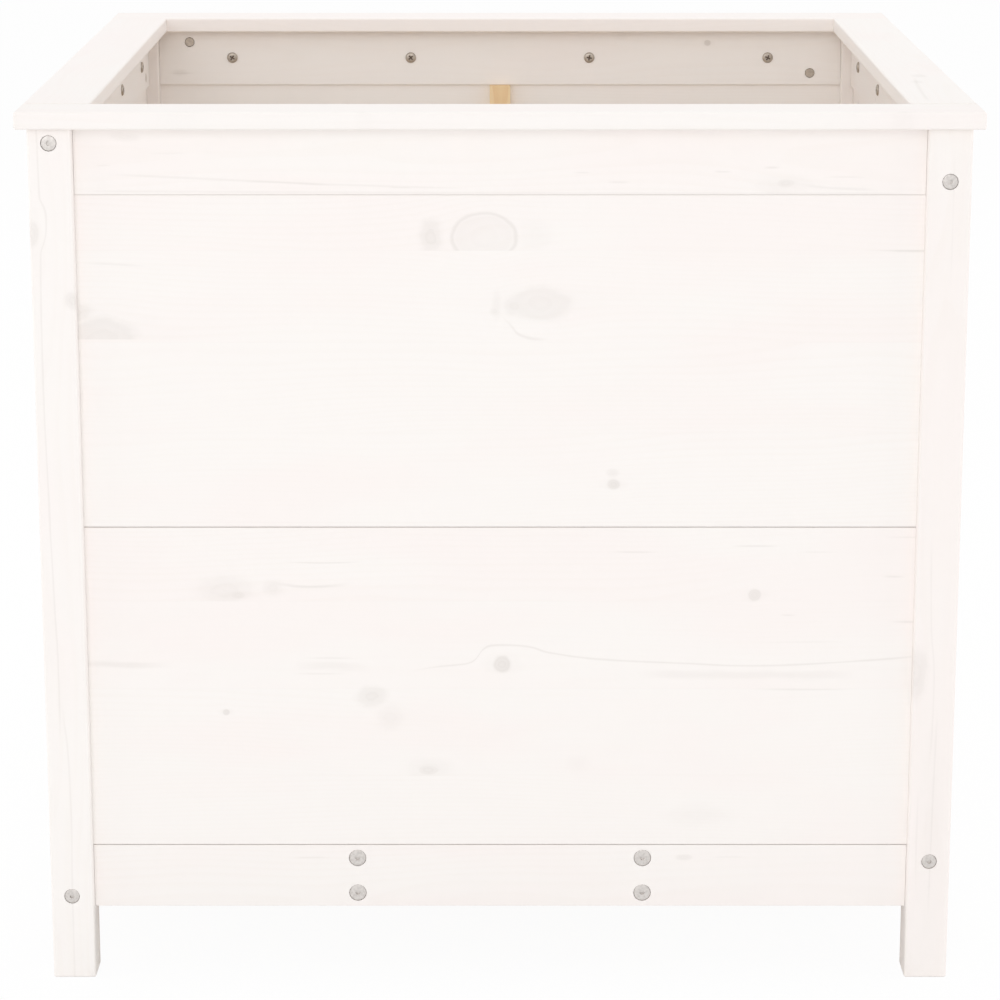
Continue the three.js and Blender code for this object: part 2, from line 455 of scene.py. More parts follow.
class Timber:
    """The nodes that work out a board's figure in one material."""

    def __init__(self, board: Board, shader: Shader, rings: Rings = Rings()) -> None:
        """Measures each point along and across the grain and through the board."""
        coordinates = shader.node("ShaderNodeTexCoord", output="Object")
        self.board = board
        self.shader = shader
        self.rings = rings
        self.along = shader.dot(coordinates, board.grain.along)
        self.across = shader.dot(coordinates, board.grain.across)
        self.through = shader.dot(coordinates, board.grain.through)
        self.shifted = self.along + board.seed * STRETCH_APART
        self.place = shader.gather(self.shifted, self.across, self.through)

    def noise(self, scale: Triple, detail: float = 2.0) -> Value:
        """Noise in the board's own stretch of timber, with a scale for each direction."""
        return self.shader.noise(self.shader.stretch(self.place, scale), detail)

    @cached_property
    def ragged(self) -> Value:
        """Noise about 0, which makes the outlines of knots uneven."""
        return self.noise((60.0, 110.0, 20.0), detail=3.0) - 0.5

    def figure(self) -> Figure:
        """Works out the figure.

        Returns:
            What the timber does at each point.
        """
        board = self.board
        draw = self.stave_draw()
        knots = self.knots()
        end = board.half[0] - board.housed
        normal = self.shader.node("ShaderNodeTexCoord", output="Normal")
        return Figure(
            latewood=self.latewood(self.across - knots.push, draw),
            fibre=self.noise((14.0, 700.0, 700.0), detail=3.0),
            cloud=self.noise((5.0, 16.0, 16.0)) + (draw[2] - 0.5) * 0.25,
            knots=knots,
            veins=self.veins(),
            joints=self.joints(),
            ends=abs(self.shader.dot(normal, board.grain.along)).rise(0.6, 0.8),
            arris=self.near_edge(self.across, 1) * self.near_edge(self.through, 2),
            # corners: painted shade that darkens each end of the board along its grain.
            corners=abs(self.along - board.centre[0]).rise(end - board.corner_reach, end + 2 * MM),
        )

    def stave_draw(self) -> tuple[Number, Number, Number]:
        """Draws the numbers that set a stave apart from its neighbours.

        Returns:
            Three random values from 0 to 1, the same all over a stave.
        """
        if not self.board.joints:
            dice = random.Random(self.board.seed)
            return dice.random(), dice.random(), dice.random()
        stave: Number = float(self.board.seed)
        for joint in self.board.joints:
            stave = (self.across > joint) + stave
        settings = {"noise_dimensions": "1D"}
        drawn = self.shader.node("ShaderNodeTexWhiteNoise", settings, {"W": stave}, "Color")
        return self.shader.spread(drawn)

    def latewood(self, across: Value, draw: tuple[Number, Number, Number]) -> Value:
        """Works out the dark latewood of the growth rings.

        Args:
            across: The place across the grain, pushed aside by the knots.
            draw: The stave's random values.

        Returns:
            1 in the latewood, else 0.
        """
        shader, rings, along = self.shader, self.rings, self.shifted
        heart_across = self.board.centre[1] + (draw[0] - 0.5) * rings.heart_aside
        heart_through = self.board.centre[2] + rings.heart_behind + draw[1] * rings.heart_deeper
        sideways = across - heart_across
        back = self.through - heart_through
        radius = (sideways * sideways + back * back).root()
        slow_place = shader.gather(along * 1.7 + draw[2] * 40.0, across * 5.0, self.through * 5.0)
        slow = shader.noise(slow_place, 1.5)
        quick = shader.noise(shader.gather(along * 9.0, across * 60.0, self.through * 60.0))
        wander = (slow - 0.5) * rings.slow_wander + (quick - 0.5) * rings.quick_wander
        year = ((radius + wander) / rings.spacing).fraction()
        clear = slow.rise(0.3, 0.62) * (1 - rings.least_clear) + rings.least_clear
        return year.rise(rings.unseen, rings.full) * year.rise(1.0, rings.fading) * clear

    def knots(self) -> KnotMarks:
        """Works out what the board's knots do.

        Returns:
            The marks of all the knots.
        """
        marks = KnotMarks()
        for knot in self.board.knots:
            lengthways = (self.along - knot.along) / knot.half_length
            sideways = (self.across - knot.across) / knot.half_width
            kept = 1.0 if knot.only_above is None else self.across > knot.only_above
            marks = self.with_knot(marks, knot, (lengthways, sideways), kept)
        if self.board.wild is not None:
            marks = self.with_knot(marks, self.board.wild, *self.nearest_wild_knot(self.board.wild))
        return marks

    def nearest_wild_knot(self, wild: WildKnots) -> tuple[tuple[Value, Value], Value]:
        """Finds the strewn knot nearest to each point.

        Args:
            wild: How the knots are strewn.

        Returns:
            The offset from its middle, in knot sizes along and across, and its tone.
        """
        shader = self.shader
        cell = shader.stretch(self.place, (1 / wild.cell_length, 1 / wild.cell_width, 0.0))
        middles = shader.node(
            "ShaderNodeTexVoronoi",
            {"voronoi_dimensions": "2D", "feature": "F1"},
            {"Vector": cell, "Scale": 1.0, "Randomness": 0.7},
            "Position",
        )
        drawn = Value(shader, middles.socket.node.outputs["Color"])
        size, chance, tone = shader.spread(drawn)
        here = shader.spread(cell)
        middle = shader.spread(middles)
        half_length = size * size * (wild.most - wild.least) + wild.least
        half_width = half_length * wild.roundness
        lengthways = (here[0] - middle[0]) * wild.cell_length / half_length
        sideways = (here[1] - middle[1]) * wild.cell_width / half_width
        return (lengthways, sideways), (chance < wild.share) * (tone * 0.55 + 0.45)

    def with_knot(
        self, marks: KnotMarks, knot: Knot | WildKnots, offset: tuple[Value, Value], kept: Number
    ) -> KnotMarks:
        """Adds one knot to the marks so far.

        Args:
            marks: The marks so far.
            knot: The knot.
            offset: The distance from its middle along and across, in half lengths and widths.
            kept: How much of it shows at each point.

        Returns:
            The marks with this knot's own.
        """
        lengthways, sideways = offset
        square = lengthways * lengthways + sideways * sideways
        reach = square.root() + self.ragged * (knot.raggedness * (0.45 + 0.5 * knot.softness))
        inside = reach.rise(1.06 + 0.35 * knot.softness, 0.85 - 0.75 * knot.softness)
        rings = (reach * 2.3).fraction().rise(0.2, 0.9) * 0.2 + 0.8
        tone = kept * knot.tone
        insides = (inside * rings * tone).most(marks.insides)
        rims, halos, push = marks.rims, marks.halos, marks.push
        if knot.rim:
            line = reach.rise(1.0 - knot.line, 1.0) * reach.rise(1.0 + knot.line, 1.0)
            rims = (line * kept * knot.rim).most(rims)
        if knot.softness < 0.5:
            stretched = lengthways * lengthways * 0.22 + sideways * sideways * 0.8
            halos = ((stretched + self.ragged * 0.9).rise(1.5, 0.2) * tone).most(halos)
            push = sideways * knot.half_width * 0.9 / (square * 0.7 + 1.0) + push
        return KnotMarks(insides, rims, halos, push)

    def veins(self) -> Number:
        """Draws the darker lines of grain.

        Returns:
            Their tone at each point.
        """
        total: Number = 0.0
        if not self.board.veins:
            return total
        uneven = self.noise((22.0, 160.0, 20.0), detail=3.0) - 0.5
        for vein in self.board.veins:
            start, end = vein.points[0][0], vein.points[-1][0]
            lowest = min(point[1] for point in vein.points) - MM
            height = max(point[1] for point in vein.points) + MM - lowest
            shares = [((g - start) / (end - start), (a - lowest) / height) for g, a in vein.points]
            share = (self.along - start) / (end - start)
            line = self.shader.node("ShaderNodeFloatCurve", {"points": shares}, {"Value": share})
            off = abs(self.across - (line * height + lowest)) / vein.half_width + uneven * 1.1
            faded = share.rise(0.0, vein.fade) * share.rise(1.0, 1.0 - vein.fade)
            total = (off.rise(1.0, 0.1) * faded * vein.tone).most(total)
        return total

    def joints(self) -> Number:
        """Draws the faint lines of the glued joints between staves.

        Returns:
            1 on the joints, else 0.
        """
        total: Number = 0.0
        for joint in self.board.joints:
            total = abs(self.across - joint).rise(0.7 * MM, 0.2 * MM).most(total)
        return total

    def near_edge(self, place: Value, axis: int) -> Value:
        """1 next to the board's faces on its second or third axis, else 0."""
        past = abs(place - self.board.centre[axis]) - self.board.half[axis]
        return past.rise(-2.2 * MM, -0.4 * MM)


@dataclass(frozen=True)
class Look:
    """What a finish shows at each point, and how strong and deep its relief is."""

    colour: Value
    roughness: Value
    height: Value
    relief: float
    relief_depth: float
    metallic: float = 0.0


class Finish:
    """A kind of surface, as a material."""

    def look(self, shader: Shader) -> Look:
        """What the finish shows, told by each kind."""
        raise NotImplementedError

    def material(self, name: str) -> bpy.types.Material:
        """Makes the finish.

        Args:
            name: The material's name.

        Returns:
            The material.
        """
        material, shader = new_material(name)
        look = self.look(shader)
        relief = {"Strength": look.relief, "Distance": look.relief_depth, "Height": look.height}
        surface = {
            "Base Color": look.colour,
            "Metallic": look.metallic,
            "Roughness": look.roughness,
            "Normal": shader.node("ShaderNodeBump", inputs=relief),
        }
        shader.surface(shader.node("ShaderNodeBsdfPrincipled", inputs=surface))
        return material


@dataclass(frozen=True)
class PaintedPine(Finish):
    """Two thin coats of white paint on pine, with the grain and knots grinning through."""

    board: Board
    white: Triple = srgb(251.6, 247.4, 244.2)
    rosy: Triple = srgb(252.0, 245.6, 242.6)
    # A warm grey for thin paint over the grain, arrises and end grain, also used for painted shade near
    # board ends and on a darker board.
    thin: Triple = srgb(243.0, 234.0, 226.0)
    knot: Triple = srgb(222.0, 216.0, 211.0)
    grain_strength: float = 0.2
    arris_wear: float = 0.12
    # How strongly painted shade darkens each end of a board, where its neighbours shade it.
    corner_wear: float = 0.08
    end_wear: float = 0.3
    halo_strength: float = 0.14
    joint_strength: float = 0.04
    roughness: float = 0.5
    fibre_roughness: float = 0.12
    end_roughness: float = 0.2
    relief: float = 0.35
    relief_depth: float = 0.06 * MM

    def look(self, shader: Shader) -> Look:
        """Works out the paint's look.

        Args:
            shader: The tree that takes the nodes.

        Returns:
            The look.
        """
        figure = Timber(self.board, shader).figure()
        streaks = (figure.fibre - 0.5) * 0.7 + figure.latewood * 0.45
        # Wear on the arrises, plus painted shade near the ends of the board.
        edges = figure.arris * self.arris_wear + figure.corners * self.corner_wear
        colour = shader.mix(figure.cloud.rise(0.35, 0.68), self.white, self.rosy)
        # The board's whole-face darkening is partly its own tone and partly painted shade.
        colour = shader.mix(streaks * self.grain_strength + edges + self.board.wear, colour, self.thin)
        height = figure.fibre * 0.35 + figure.latewood * 0.5 + figure.cloud * 0.6
        if self.board.knotty:
            marks = figure.knots
            marked = (marks.halos * self.halo_strength + marks.insides).most(marks.rims)
            colour = shader.mix(marked, colour, self.knot)
            height = marks.insides * 0.3 + height
        if self.board.veins:
            colour = shader.mix(figure.veins, colour, self.knot)
            height = height - figure.veins * 0.5
        if self.board.joints:
            colour = shader.mix(figure.joints * self.joint_strength, colour, self.knot)
            height = height - figure.joints * 0.3
        colour = shader.mix(figure.ends * self.end_wear, colour, self.thin)
        roughness = figure.fibre * self.fibre_roughness + self.roughness + figure.ends * self.end_roughness
        return Look(colour, roughness, height, self.relief, self.relief_depth)


@dataclass(frozen=True)
class BarePine(Finish):
    """Planed pine without a finish."""

    board: Board
    earlywood: Triple = srgb(252.0, 232.0, 198.0)
    latewood: Triple = srgb(237.0, 197.0, 146.0)
    cloudy: Triple = srgb(249.0, 222.0, 180.0)
    knot: Triple = srgb(150.0, 92.0, 50.0)
    rim: Triple = srgb(96.0, 56.0, 32.0)
    latewood_strength: float = 0.55
    fibre_strength: float = 0.35
    halo_strength: float = 0.5
    end_strength: float = 0.35
    roughness: float = 0.72
    latewood_gloss: float = 0.1
    end_roughness: float = 0.15
    relief: float = 0.6
    relief_depth: float = 0.08 * MM

    def look(self, shader: Shader) -> Look:
        """Works out the timber's look.

        Args:
            shader: The tree that takes the nodes.

        Returns:
            The look.
        """
        figure = Timber(self.board, shader).figure()
        streaks = figure.latewood * self.latewood_strength + (figure.fibre - 0.5) * self.fibre_strength
        colour = shader.mix(figure.cloud.rise(0.3, 0.7), self.earlywood, self.cloudy)
        colour = shader.mix(streaks, colour, self.latewood)
        height = figure.fibre * 0.5 + figure.latewood * 0.5
        if self.board.knotty:
            marks = figure.knots
            colour = shader.mix(marks.halos * self.halo_strength, colour, self.latewood)
            colour = shader.mix(marks.insides, colour, self.knot)
            colour = shader.mix(marks.rims, colour, self.rim)
            height = marks.rims * 0.4 + height
        colour = shader.mix(figure.ends * self.end_strength, colour, self.latewood)
        roughness = self.roughness - figure.latewood * self.latewood_gloss + figure.ends * self.end_roughness
        return Look(colour, roughness, height, self.relief, self.relief_depth)


@dataclass(frozen=True)
class ZincSteel(Finish):
    """Zinc-plated steel: grey, a little mottled, with fine scratches."""

    bright: Triple = srgb(216.0, 211.0, 207.0)
    dull: Triple = srgb(200.0, 195.0, 191.0)
    metallic: float = 0.9
    roughness: float = 0.33
    mottled_roughness: float = 0.18
    relief: float = 0.5
    relief_depth: float = 0.02 * MM

    def look(self, shader: Shader) -> Look:
        """Works out the plating's look.

        Args:
            shader: The tree that takes the nodes.

        Returns:
            The look.
        """
        place = shader.node("ShaderNodeTexCoord", output="Object")
        mottle = shader.noise(shader.stretch(place, (420.0, 420.0, 420.0)), detail=3.0)
        scratch = shader.noise(shader.stretch(place, (900.0, 4200.0, 2600.0)), detail=4.0)
        colour = shader.mix(mottle.rise(0.35, 0.7), self.bright, self.dull)
        roughness = mottle * self.mottled_roughness + self.roughness
        height = scratch * 0.6 + mottle * 0.4
        return Look(colour, roughness, height, self.relief, self.relief_depth, self.metallic)


# ---- Walls' own directions ----------------------------------------------------------


class Quarter(Enum):
    """One of the four sides. Its own frame is the front wall's, turned with the side."""

    FRONT = 0
    RIGHT = 1
    BACK = 2
    LEFT = 3

    @property
    def side(self) -> str:
        """The side as the nodes name it."""
        return self.name.lower()

    @property
    def turn(self) -> Matrix:
        """From the side's own frame to the row frame."""
        return Matrix.Rotation(self.value * math.pi / 2, 4, "Z")

    def direction(self, x: float, y: float, z: float) -> Triple:
        """A direction of the side's own frame, in the row frame."""
        turned = self.turn.to_3x3() @ Vector((x, y, z))
        return tuple(round(value, 6) for value in turned)

    def box(self, node: str) -> tuple[Vector, Vector]:
        """Measures a node in the side's own frame.

        Args:
            node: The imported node.

        Returns:
            Its lowest and highest corners.
        """
        back = self.turn.inverted()
        first, second = (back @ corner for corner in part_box(node))
        low = Vector(map(min, first, second))
        high = Vector(map(max, first, second))
        return low, high


def lengthways(quarter: Quarter) -> Grain:
    """The grain of a wall's boards: sideways, with the height across it."""
    return Grain(quarter.direction(1, 0, 0), (0.0, 0.0, 1.0), quarter.direction(0, 1, 0))


def upright(quarter: Quarter) -> Grain:
    """The grain of a post or a batten."""
    return Grain((0.0, 0.0, 1.0), quarter.direction(1, 0, 0), quarter.direction(0, 1, 0))


def lying(quarter: Quarter) -> Grain:
    """The grain of a board laid flat, along its side."""
    return Grain(quarter.direction(1, 0, 0), quarter.direction(0, 1, 0), (0.0, 0.0, 1.0))


def reach(node: str, axis: Triple) -> tuple[float, float]:
    """Measures a node along an axis of the row frame.

    Args:
        node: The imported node.
        axis: The axis.

    Returns:
        Its least and greatest reach.
    """
    low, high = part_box(node)
    ends = (low.dot(Vector(axis)), high.dot(Vector(axis)))
    return min(ends), max(ends)


def board_of(node: str, grain: Grain, seed: int, **features: object) -> Board:
    """The board that a node is.

    Args:
        node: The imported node.
        grain: Its grain directions.
        seed: A number of its own, which picks its stretch of timber.
        features: Its other fields, such as its joints, knots and veins.

    Returns:
        The board.
    """
    spans = [reach(node, axis) for axis in (grain.along, grain.across, grain.through)]
    centre = tuple((low + high) / 2 for low, high in spans)
    half = tuple((high - low) / 2 for low, high in spans)
    return Board(grain, centre, half, seed, **features)


def dress(node: str, finish: Finish) -> None:
    """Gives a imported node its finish."""
    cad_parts[node].material_slots[0].material = finish.material(node)
    logging.info("dressed %s", node)


# ---- Sub-assemblies of timber --------------------------------------------------------


Features = dict[str, tuple[Knot, ...] | tuple[Vein, ...] | tuple[float, ...] | WildKnots | float]

# Knots and veins of the boards that show from the front, along and across each board's grain.
# The other boards have strewn knots.
MARKS: dict[str, Features] = {
    "front_top_rail": {
        "knots": (
            Knot(0.243, 0.7198, 0.028, 0.0095, 0.16, softness=1.0),
            Knot(0.2443, 0.7212, 0.009, 0.0042, 0.4, softness=0.6),
            Knot(-0.3205, 0.7613, 0.014, 0.0045, 0.22, softness=0.7),
        ),
        "veins": (
            Vein(((-0.345, 0.7295), (-0.25, 0.725), (-0.16, 0.721), (-0.02, 0.7165)), 1.5 * MM, 0.2),
            Vein(((-0.245, 0.7247), (-0.18, 0.7217), (-0.12, 0.719)), 1.4 * MM, 0.38),
            Vein(((-0.10, 0.7182), (-0.085, 0.7178), (-0.07, 0.7176)), 1.4 * MM, 0.3),
            Vein(((-0.37, 0.7145), (0.0, 0.713), (0.36, 0.7125)), 1.6 * MM, 0.18),
            Vein(((0.25, 0.7222), (0.268, 0.7185), (0.30, 0.7165), (0.33, 0.7155)), 1.8 * MM, 0.24),
            Vein(((0.272, 0.7262), (0.295, 0.7268), (0.318, 0.7255)), 1.2 * MM, 0.18),
            Vein(((0.181, 0.7315), (0.19, 0.7312), (0.20, 0.7313)), 1.4 * MM, 0.3),
            Vein(((0.224, 0.7347), (0.232, 0.735), (0.241, 0.7349)), 1.3 * MM, 0.28),
            Vein(((0.061, 0.7303), (0.07, 0.7305), (0.08, 0.7303)), 1.3 * MM, 0.22),
            Vein(((0.09, 0.7225), (0.10, 0.7223), (0.114, 0.7224)), 1.3 * MM, 0.2),
            Vein(((-0.347, 0.7366), (-0.339, 0.7367), (-0.331, 0.7365)), 1.3 * MM, 0.16),
            Vein(((-0.304, 0.7473), (-0.283, 0.747), (-0.263, 0.7472)), 1.3 * MM, 0.12),
        ),
    },
    "front_upper_panel": {
        "knots": (
            Knot(-0.0137, 0.6747, 0.0275, 0.0208, 0.15, rim=0.4, raggedness=0.2, only_above=0.663),
            Knot(-0.0595, 0.6745, 0.010, 0.017, 0.42, softness=0.8, only_above=0.663),
            Knot(0.031, 0.677, 0.014, 0.014, 0.1, softness=1.0, only_above=0.663),
            Knot(0.0345, 0.6165, 0.0285, 0.0155, 0.25, softness=0.3),
            Knot(0.013, 0.6145, 0.010, 0.008, 0.32, softness=1.0),
            Knot(-0.003, 0.6155, 0.0045, 0.013, 0.17, softness=0.8),
            Knot(-0.0045, 0.610, 0.005, 0.0045, 0.28, softness=0.8),
            Knot(-0.345, 0.5845, 0.033, 0.0215, 0.3, rim=0.1, softness=0.2, only_above=0.5852),
            Knot(-0.368, 0.609, 0.016, 0.009, 0.42, softness=0.8, only_above=0.5852),
            Knot(0.0985, 0.4663, 0.0065, 0.0042, 0.25, softness=0.6),
            Knot(0.0993, 0.456, 0.0062, 0.0048, 0.5, softness=0.4),
        ),
        "veins": (
            Vein(((0.312, 0.6634), (0.35, 0.6628), (0.42, 0.6628)), 1.5 * MM, 0.5),
            Vein(((-0.366, 0.6522), (-0.33, 0.651), (-0.298, 0.6484)), 1.6 * MM, 0.2),
            Vein(((-0.002, 0.609), (0.009, 0.598), (0.0175, 0.589), (0.0445, 0.585)), 2.4 * MM, 0.3),
        ),
    },
    "front_lower_panel": {
        "knots": (
            Knot(-0.242, 0.360, 0.028, 0.014, 0.26, softness=0.8, only_above=0.350),
            Knot(-0.231, 0.3555, 0.007, 0.004, 0.4, softness=0.4, only_above=0.350),
            Knot(-0.200, 0.362, 0.010, 0.008, 0.26, softness=0.9, only_above=0.350),
            Knot(0.2245, 0.3555, 0.006, 0.006, 0.42, softness=0.3),
            Knot(0.002, 0.2921, 0.0085, 0.0085, 0.52, softness=0.25),
            Knot(-0.114, 0.262, 0.014, 0.010, 0.4, softness=0.8),
            Knot(-0.098, 0.243, 0.013, 0.013, 0.2, softness=1.0),
            Knot(-0.064, 0.1935, 0.010, 0.005, 0.42, softness=0.5, only_above=0.188),
            Knot(-0.064, 0.195, 0.022, 0.010, 0.2, softness=1.0, only_above=0.188),
            Knot(-0.2435, 0.2475, 0.0032, 0.003, 0.5, softness=0.3),
            Knot(0.070, 0.199, 0.012, 0.008, 0.1, softness=1.0),
            Knot(0.177, 0.151, 0.028, 0.012, 0.11, softness=1.0),
        ),
        "veins": (
            Vein(
                (
                    (-0.084, 0.2828), (-0.061, 0.289), (-0.029, 0.2927), (-0.014, 0.3063),
                    (-0.004, 0.3096), (0.014, 0.3094), (0.044, 0.3026), (0.096, 0.2961),
                    (0.171, 0.2925), (0.218, 0.2906), (0.30, 0.2939), (0.39, 0.302),
                ),
                1.4 * MM,
                0.34,
            ),
            Vein(((-0.195, 0.3864), (-0.155, 0.3849), (-0.118, 0.3864)), 1.2 * MM, 0.4),
            Vein(((-0.206, 0.369), (-0.19, 0.365), (-0.17, 0.3633), (-0.128, 0.3665)), 2 * MM, 0.4),
            Vein(((-0.40, 0.293), (-0.33, 0.2915), (-0.283, 0.2908)), 4.2 * MM, 0.26),
            Vein(((-0.19, 0.2895), (-0.15, 0.2905), (-0.11, 0.288)), 6.0 * MM, 0.16),
            Vein(((-0.178, 0.2976), (-0.15, 0.2977), (-0.122, 0.297)), 1.3 * MM, 0.2),
            Vein(((-0.188, 0.2836), (-0.16, 0.2833), (-0.13, 0.2835)), 1.3 * MM, 0.18),
            Vein(((0.115, 0.283), (0.22, 0.2822), (0.325, 0.2818)), 6.0 * MM, 0.18),
            Vein(((0.218, 0.2689), (0.27, 0.2686), (0.32, 0.2689)), 1.3 * MM, 0.28),
            Vein(((0.20, 0.4004), (0.22, 0.4003), (0.25, 0.4002)), 1.3 * MM, 0.3),
            Vein(((0.095, 0.395), (0.12, 0.3948), (0.142, 0.3945)), 1.3 * MM, 0.28),
            Vein(((0.26, 0.395), (0.28, 0.3948), (0.30, 0.3948)), 1.2 * MM, 0.14),
            Vein(((0.245, 0.3373), (0.253, 0.3372), (0.263, 0.3371)), 1.2 * MM, 0.22),
            Vein(((0.225, 0.3122), (0.265, 0.3125), (0.31, 0.3126)), 1.2 * MM, 0.12),
            Vein(((0.335, 0.4083), (0.355, 0.4082), (0.39, 0.408)), 1.3 * MM, 0.2),
            Vein(((0.335, 0.3727), (0.346, 0.3725), (0.358, 0.3724)), 1.3 * MM, 0.26),
            Vein(((0.34, 0.3313), (0.36, 0.331), (0.39, 0.331)), 1.4 * MM, 0.36),
        ),
    },
    "front_bottom_rail": {
        "knots": (Knot(0.165, 0.111, 0.008, 0.003, 0.3, softness=0.6),),
        "veins": (
            Vein(((-0.19, 0.1105), (-0.17, 0.111), (-0.15, 0.111)), 1.2 * MM, 0.2),
            Vein(((0.185, 0.111), (0.205, 0.1115), (0.225, 0.1115)), 1.2 * MM, 0.16),
        ),
    },
    "back_top_rail": {
        "knots": (
            Knot(-0.222, 0.756, 0.004, 0.0035, 0.8, softness=0.3),
            Knot(-0.131, 0.765, 0.012, 0.006, 0.25, softness=1.0),
            Knot(0.344, 0.7245, 0.009, 0.004, 0.25, softness=0.7),
        ),
        "veins": (Vein(((0.325, 0.7238), (0.34, 0.7236), (0.358, 0.7235)), 1.2 * MM, 0.3),),
    },
    "back_upper_panel": {"wild": WildKnots(share=0.22, tone=0.4)},
    "post_front_left": {
        "knots": (
            Knot(0.679, -0.4005, 0.012, 0.006, 0.3, softness=0.4),
            Knot(0.621, -0.366, 0.008, 0.010, 0.36, softness=0.8),
        ),
        "veins": (
            Vein(
                (
                    (0.215, -0.392), (0.268, -0.3902), (0.352, -0.3919), (0.45, -0.394),
                    (0.565, -0.3955), (0.66, -0.394), (0.691, -0.3884), (0.712, -0.3937),
                    (0.80, -0.3946),
                ),
                1.4 * MM,
                0.24,
            ),
            Vein(
                ((-0.05, -0.384), (0.08, -0.384), (0.162, -0.383), (0.247, -0.387), (0.268, -0.39)),
                1.4 * MM,
                0.2,
            ),
        ),
    },
    "post_front_right": {
        "knots": (
            Knot(0.286, 0.366, 0.026, 0.013, 0.34, softness=0.6),
            Knot(0.14, 0.386, 0.12, 0.014, 0.12, softness=1.0),
        ),
        "veins": (
            Vein(((0.19, 0.376), (0.27, 0.384), (0.33, 0.380), (0.42, 0.3775)), 1.4 * MM, 0.18),
            Vein(((0.05, 0.385), (0.12, 0.3855), (0.26, 0.3878)), 1.3 * MM, 0.2),
            Vein(((0.07, 0.3745), (0.13, 0.3725), (0.19, 0.3735)), 1.3 * MM, 0.16),
            Vein(((0.62, 0.3872), (0.69, 0.3876), (0.76, 0.387)), 1.2 * MM, 0.12),
        ),
        # Painted shade and tone: this post is darker all over, as if less lit than the left one.
        "wear": 0.07,
    },
    "rim_front": {
        "knots": (
            Knot(0.341, -0.4095, 0.012, 0.006, 0.14, softness=0.9),
            Knot(-0.274, -0.4095, 0.028, 0.005, 0.09, softness=1.0),
            Knot(-0.114, -0.4095, 0.010, 0.005, 0.08, softness=1.0),
        ),
    },
    "rim_right": {
        "knots": (
            Knot(-0.155, -0.385, 0.012, 0.008, 0.24, softness=0.5),
            Knot(-0.20, -0.378, 0.012, 0.006, 0.26, softness=0.9),
        ),
        "veins": (
            Vein(
                ((-0.354, -0.372), (-0.29, -0.373), (-0.21, -0.3765), (-0.16, -0.381)),
                2.6 * MM,
                0.24,
            ),
        ),
    },
}


@dataclass(frozen=True)
class Wall:
    """One side's rails, panels and batten. Every height is from the ground."""

    quarter: Quarter
    stave_width: float = 80.5 * MM
    upper_joint: float = 663 * MM
    lower_joint: float = 350 * MM
    panel_housed: float = 5.7 * MM
    panel_knots: WildKnots = WildKnots(tone=0.4)
    rail_knots: WildKnots = WildKnots(cell_width=60 * MM, share=0.3, most=9 * MM, tone=0.4)

    @property
    def seed(self) -> int:
        """The first of this wall's seeds."""
        return 10 * (self.quarter.value + 1)

    def name(self, piece: str) -> str:
        """A node's name on this side."""
        return f"{self.quarter.side}_{piece}"

    def joints(self, node: str, joint: float) -> tuple[float, ...]:
        """Finds the glued joints of a panel.

        Args:
            node: The panel.
            joint: The height of one of them.

        Returns:
            The heights of them all.
        """
        low, high = reach(node, (0.0, 0.0, 1.0))
        nearest_below = joint - math.floor((joint - low) / self.stave_width) * self.stave_width
        count = math.floor((high - nearest_below) / self.stave_width) + 1
        return tuple(nearest_below + i * self.stave_width for i in range(count))

    def dress(self) -> None:
        """Gives the wall's timber its finishes."""
        grain = lengthways(self.quarter)
        some_joint = {"upper_panel": self.upper_joint, "lower_panel": self.lower_joint}
        for offset, piece in enumerate(("top_rail", "upper_panel", "lower_panel", "bottom_rail")):
            node = self.name(piece)
            features = dict(MARKS.get(node, {"wild": self.rail_knots}))
            if piece in some_joint:
                features = dict(MARKS.get(node, {"wild": self.panel_knots}))
                features["joints"] = self.joints(node, some_joint[piece])
                features["housed"] = self.panel_housed
            dress(node, PaintedPine(board_of(node, grain, self.seed + offset, **features)))
        batten = self.name("batten")
        dress(batten, BarePine(board_of(batten, upright(self.quarter), self.seed + 5)))


@dataclass(frozen=True)
class Posts:
    """The four corner posts."""

    names: tuple[str, ...] = ("front_left", "front_right", "back_right", "back_left")
    wild: WildKnots = WildKnots(cell_width=60 * MM, share=0.35, most=11 * MM, tone=0.4)
    first_seed: int = 60

    def dress(self) -> None:
        """Gives the posts their finish."""
        for i, name in enumerate(self.names):
            node = f"post_{name}"
            features = MARKS.get(node, {"wild": self.wild})
            board = board_of(node, upright(Quarter.FRONT), self.first_seed + i, **features)
            dress(node, PaintedPine(board))


@dataclass(frozen=True)
class Rim:
    """The four flat boards round the top."""

    wild: WildKnots = WildKnots(cell_width=70 * MM, share=0.35, most=8 * MM, tone=0.25)
    first_seed: int = 70

    def dress(self) -> None:
        """Gives the rim its finish."""
        for quarter in Quarter:
            node = f"rim_{quarter.side}"
            features = MARKS.get(node, {"wild": self.wild})
            board = board_of(node, lying(quarter), self.first_seed + quarter.value, **features)
            dress(node, PaintedPine(board))


@dataclass(frozen=True)
class FloorOfSlats:
    """The two bearers and the six slats across them."""

    bearers: tuple[str, ...] = ("floor_bearer_left", "floor_bearer_right")
    slat_count: int = 6
    wild: WildKnots = WildKnots(share=0.5, most=13 * MM, tone=0.75, rim=0.7)
    first_seed: int = 80

    @property
    def slats(self) -> list[str]:
        """The slats' names."""
        return [f"floor_slat_{i + 1}" for i in range(self.slat_count)]

    def dress(self) -> None:
        """Gives the floor its finish."""
        bearer_grain = Grain((0.0, 1.0, 0.0), (0.0, 0.0, 1.0), (1.0, 0.0, 0.0))
        slat_grain = lying(Quarter.FRONT)
        grains = [(node, bearer_grain) for node in self.bearers]
        grains += [(node, slat_grain) for node in self.slats]
        for i, (node, grain) in enumerate(grains):
            dress(node, BarePine(board_of(node, grain, self.first_seed + i, wild=self.wild)))


# ---- Meshes of steel ----------------------------------------------------------------


